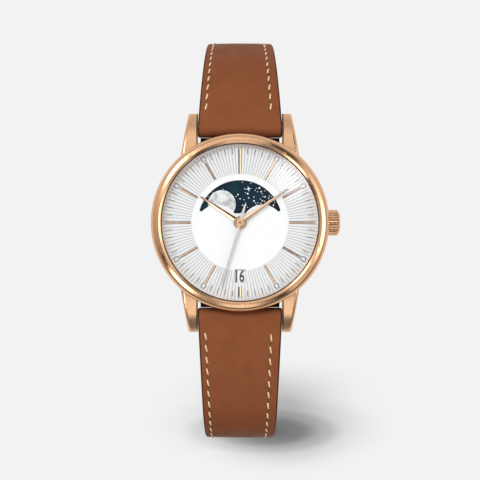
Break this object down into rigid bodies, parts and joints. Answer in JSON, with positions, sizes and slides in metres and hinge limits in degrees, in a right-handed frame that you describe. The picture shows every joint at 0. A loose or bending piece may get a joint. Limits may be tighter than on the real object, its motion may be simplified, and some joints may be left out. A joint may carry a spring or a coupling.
{
  "type": "moon phase wristwatch",
  "caption": "Ladies' wristwatch with a moon phase aperture, a date window and a crown, on a curved leather strap with a pin buckle, not buckled.",
  "frame": {"origin": "centre of the case back's flat outer face", "axes": "+Z out through the dial, +Y towards 12 o'clock, +X towards the crown"},
  "size_m": [0.0353, 0.0808, 0.0526],
  "materials": {
    "rose_gold": "polished rose gold plated steel",
    "rose_gold_trim": "polished rose gold",
    "crystal_glass": "clear mineral glass",
    "gasket": "matte",
    "dial_white": "fine grooved white lacquer",
    "sky_blue": "printed night sky",
    "moon_pale": "printed moon",
    "date_white": "printed white disc",
    "leather_tan": "smooth tan leather",
    "leather_lining": "suede side",
    "steel": "satin",
    "movement_brass": "satin",
    "movement_steel": "satin",
    "holder_plastic": "moulded",
    "cell_steel": "polished",
    "board_green": "solder mask",
    "copper": "enamelled wire",
    "magnet": "sintered"
  },
  "bodies": {
    "case": {"mid_case": "rose_gold", "bezel": "rose_gold", "crystal": "crystal_glass", "crystal_gasket": "gasket", "dial_ring": "rose_gold", "case_back": "steel", "case_back_gasket": "gasket", "case_back_screws": "steel", "movement_holder": "holder_plastic", "crown_tube": "steel", "dial": "dial_white", "hour_markers": "rose_gold_trim", "mainplate": "movement_brass", "train_bridge": "movement_brass", "bridge_screws": "steel", "battery": "cell_steel", "battery_clamp": "movement_steel", "circuit_board": "board_green", "quartz_resonator": "cell_steel", "coil_core": "movement_steel", "coil_winding": "copper", "stator": "movement_steel", "calendar_plate": "movement_brass", "date_jumper": "movement_steel", "moon_jumper": "movement_steel", "yoke": "movement_steel", "spring_bar_upper": "steel", "spring_bar_lower": "steel"},
    "seconds": {"second_wheel": "movement_brass", "second_hand": "rose_gold_trim"},
    "minutes": {"centre_wheel": "movement_brass", "minute_hand": "rose_gold_trim"},
    "hours": {"hour_wheel": "movement_brass", "hour_hand": "rose_gold_trim"},
    "third": {"third_wheel": "movement_brass"},
    "fifth": {"fifth_wheel": "movement_brass"},
    "rotor": {"rotor": "magnet"},
    "minute_works": {"minute_wheel": "movement_brass"},
    "setting": {"setting_wheel": "movement_steel"},
    "calendar": {"calendar_wheel": "movement_brass"},
    "date": {"date_disc": "date_white"},
    "moon": {"moon_disc": "sky_blue", "moons": "moon_pale"},
    "lever": {"setting_lever": "movement_steel"},
    "clutch": {"sliding_pinion": "movement_steel"},
    "crown": {"crown": "rose_gold", "crown_gasket": "gasket", "winding_stem": "steel"},
    "upper_strap": {"strap_upper": "leather_tan", "lining_upper": "leather_lining", "keeper_fixed": "leather_tan"},
    "lower_strap": {"strap_lower": "leather_tan", "lining_lower": "leather_lining"},
    "buckle": {"buckle_frame": "rose_gold_trim", "buckle_bar": "steel"},
    "tongue": {"buckle_tongue": "rose_gold_trim"},
    "keeper": {"keeper_sliding": "leather_tan"}
  },
  "joints": [
    {"name": "second_hand_turn", "type": "hinge", "parent": "case", "child": "seconds", "pos_m": [0, 0, 0.0022], "axis": [0, 0, -1], "continuous": true},
    {"name": "minute_hand_turn", "type": "hinge", "parent": "case", "child": "minutes", "pos_m": [0, 0, 0.0022], "axis": [0, 0, -1], "continuous": true},
    {"name": "hour_hand_turn", "type": "hinge", "parent": "case", "child": "hours", "pos_m": [0, 0, 0.0039], "axis": [0, 0, -1], "continuous": true},
    {"name": "third_wheel_turn", "type": "hinge", "parent": "case", "child": "third", "pos_m": [0.00149, 0.00258, 0.0022], "axis": [0, 0, -1], "continuous": true},
    {"name": "fifth_wheel_turn", "type": "hinge", "parent": "case", "child": "fifth", "pos_m": [-0.00279, -0.00024, 0.0022], "axis": [0, 0, -1], "continuous": true},
    {"name": "rotor_turn", "type": "hinge", "parent": "case", "child": "rotor", "pos_m": [-0.00463, 0.0013, 0.0022], "axis": [0, 0, -1], "continuous": true},
    {"name": "minute_wheel_turn", "type": "hinge", "parent": "case", "child": "minute_works", "pos_m": [0.0024, 0, 0.0039], "axis": [0, 0, -1], "continuous": true},
    {"name": "setting_wheel_turn", "type": "hinge", "parent": "case", "child": "setting", "pos_m": [0.005, 0, 0.0039], "axis": [0, 0, -1], "continuous": true},
    {"name": "calendar_wheel_turn", "type": "hinge", "parent": "case", "child": "calendar", "pos_m": [0.00288, -0.00499, 0.0039], "axis": [0, 0, -1], "continuous": true},
    {"name": "date_disc_turn", "type": "hinge", "parent": "case", "child": "date", "pos_m": [0, 0, 0.00475], "axis": [0, 0, -1], "continuous": true, "deforming": ["date_jumper"]},
    {"name": "moon_disc_turn", "type": "hinge", "parent": "case", "child": "moon", "pos_m": [0, 0, 0.00475], "axis": [0, 0, -1], "continuous": true, "deforming": ["moon_jumper"]},
    {"name": "crown_turn", "type": "hinge", "parent": "case", "child": "clutch", "pos_m": [0.007, 0, 0.0034], "axis": [1, 0, 0], "continuous": true},
    {"name": "crown_pull", "type": "slide", "parent": "clutch", "child": "crown", "axis": [1, 0, 0], "range_m": [0, 0.0014]},
    {"name": "setting_lever_turn", "type": "hinge", "parent": "case", "child": "lever", "pos_m": [0.0087, -0.003, 0.004], "axis": [0, 0, -1], "range_deg": [0, 28]},
    {"name": "upper_strap_swing", "type": "hinge", "parent": "case", "child": "upper_strap", "pos_m": [0, 0.0179, 0.003], "axis": [1, 0, 0], "range_deg": [-2, 40]},
    {"name": "lower_strap_swing", "type": "hinge", "parent": "case", "child": "lower_strap", "pos_m": [0, -0.0179, 0.003], "axis": [-1, 0, 0], "range_deg": [-2, 40]},
    {"name": "buckle_swing", "type": "hinge", "parent": "upper_strap", "child": "buckle", "pos_m": [0, 0.01132, -0.04231], "axis": [1, 0, 0], "range_deg": [-60, 20]},
    {"name": "tongue_swing", "type": "hinge", "parent": "buckle", "child": "tongue", "pos_m": [0, 0.01132, -0.04231], "axis": [1, 0, 0], "range_deg": [0, 75]},
    {"name": "keeper_slide", "type": "hinge", "parent": "upper_strap", "child": "keeper", "pos_m": [0, 0.01732, -0.02331], "axis": [-1, 0, 0], "range_deg": [-30, 30]}
  ],
  "couplings": [
    {"joint": "minute_hand_turn", "follows": "second_hand_turn", "ratio": 0.016667},
    {"joint": "hour_hand_turn", "follows": "second_hand_turn", "ratio": 0.0013889},
    {"joint": "third_wheel_turn", "follows": "second_hand_turn", "ratio": -0.13333},
    {"joint": "fifth_wheel_turn", "follows": "second_hand_turn", "ratio": -6},
    {"joint": "rotor_turn", "follows": "second_hand_turn", "ratio": 30},
    {"joint": "minute_wheel_turn", "follows": "second_hand_turn", "ratio": -0.0055556},
    {"joint": "setting_wheel_turn", "follows": "second_hand_turn", "ratio": 0.0125},
    {"joint": "calendar_wheel_turn", "follows": "second_hand_turn", "ratio": -0.00069444},
    {"joint": "setting_lever_turn", "follows": "crown_pull", "rad_per_m": 346.8}
  ]
}
